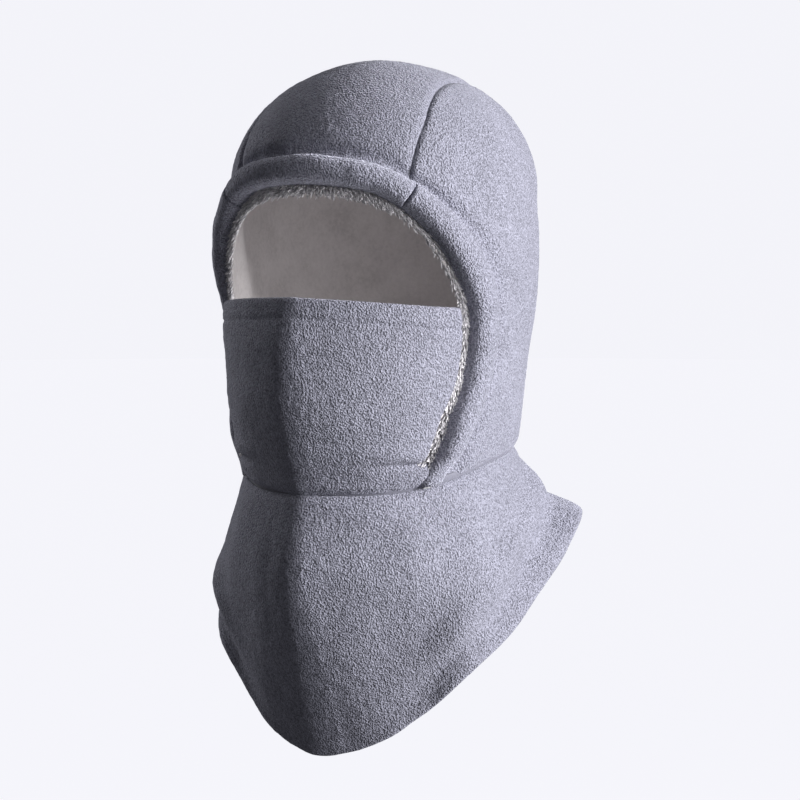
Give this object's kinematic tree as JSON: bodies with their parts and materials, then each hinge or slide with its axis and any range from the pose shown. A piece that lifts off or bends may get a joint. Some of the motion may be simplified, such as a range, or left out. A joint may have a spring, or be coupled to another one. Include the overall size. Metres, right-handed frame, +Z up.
{
  "type": "balaclava",
  "caption": "Fleece hood for skiing with a rolled face opening, a fold-down face mask and a flared neck cape that is longer in front.",
  "frame": {"origin": "the point of the lining that rests on top of the wearer's head", "axes": "+Z up, the face looks along -Y, +X is the wearer's left"},
  "size_m": [0.2094, 0.2229, 0.4049],
  "materials": {
    "fleece": "brushed slate-grey fleece with a short pebbled pile",
    "binding": "the same fleece rolled round the edge of the face opening",
    "plush_lining": "silver-grey short plush",
    "elastic": "woven elastic tape",
    "thread": "twisted sewing thread"
  },
  "bodies": {
    "hood": {"crown_panel": "fleece", "left_side_panel": "fleece", "right_side_panel": "fleece", "crown_lining": "plush_lining", "left_lining": "plush_lining", "right_lining": "plush_lining", "brow_binding": "binding", "left_binding": "binding", "right_binding": "binding", "opening_elastic": "elastic", "chin_strip": "fleece", "chin_strip_lining": "plush_lining", "cape_outer": "fleece", "cape_lining": "plush_lining", "crown_seam_left": "thread", "crown_seam_right": "thread", "neck_seam": "thread"},
    "mask": {"mask_outer": "fleece", "mask_lining": "plush_lining", "mask_top_elastic": "elastic"}
  },
  "joints": [
    {"name": "mask_fold", "type": "hinge", "parent": "hood", "child": "mask", "pos_m": [0, -0.1031, -0.226], "axis": [1, 0, 0], "range_deg": [0, 150]}
  ]
}
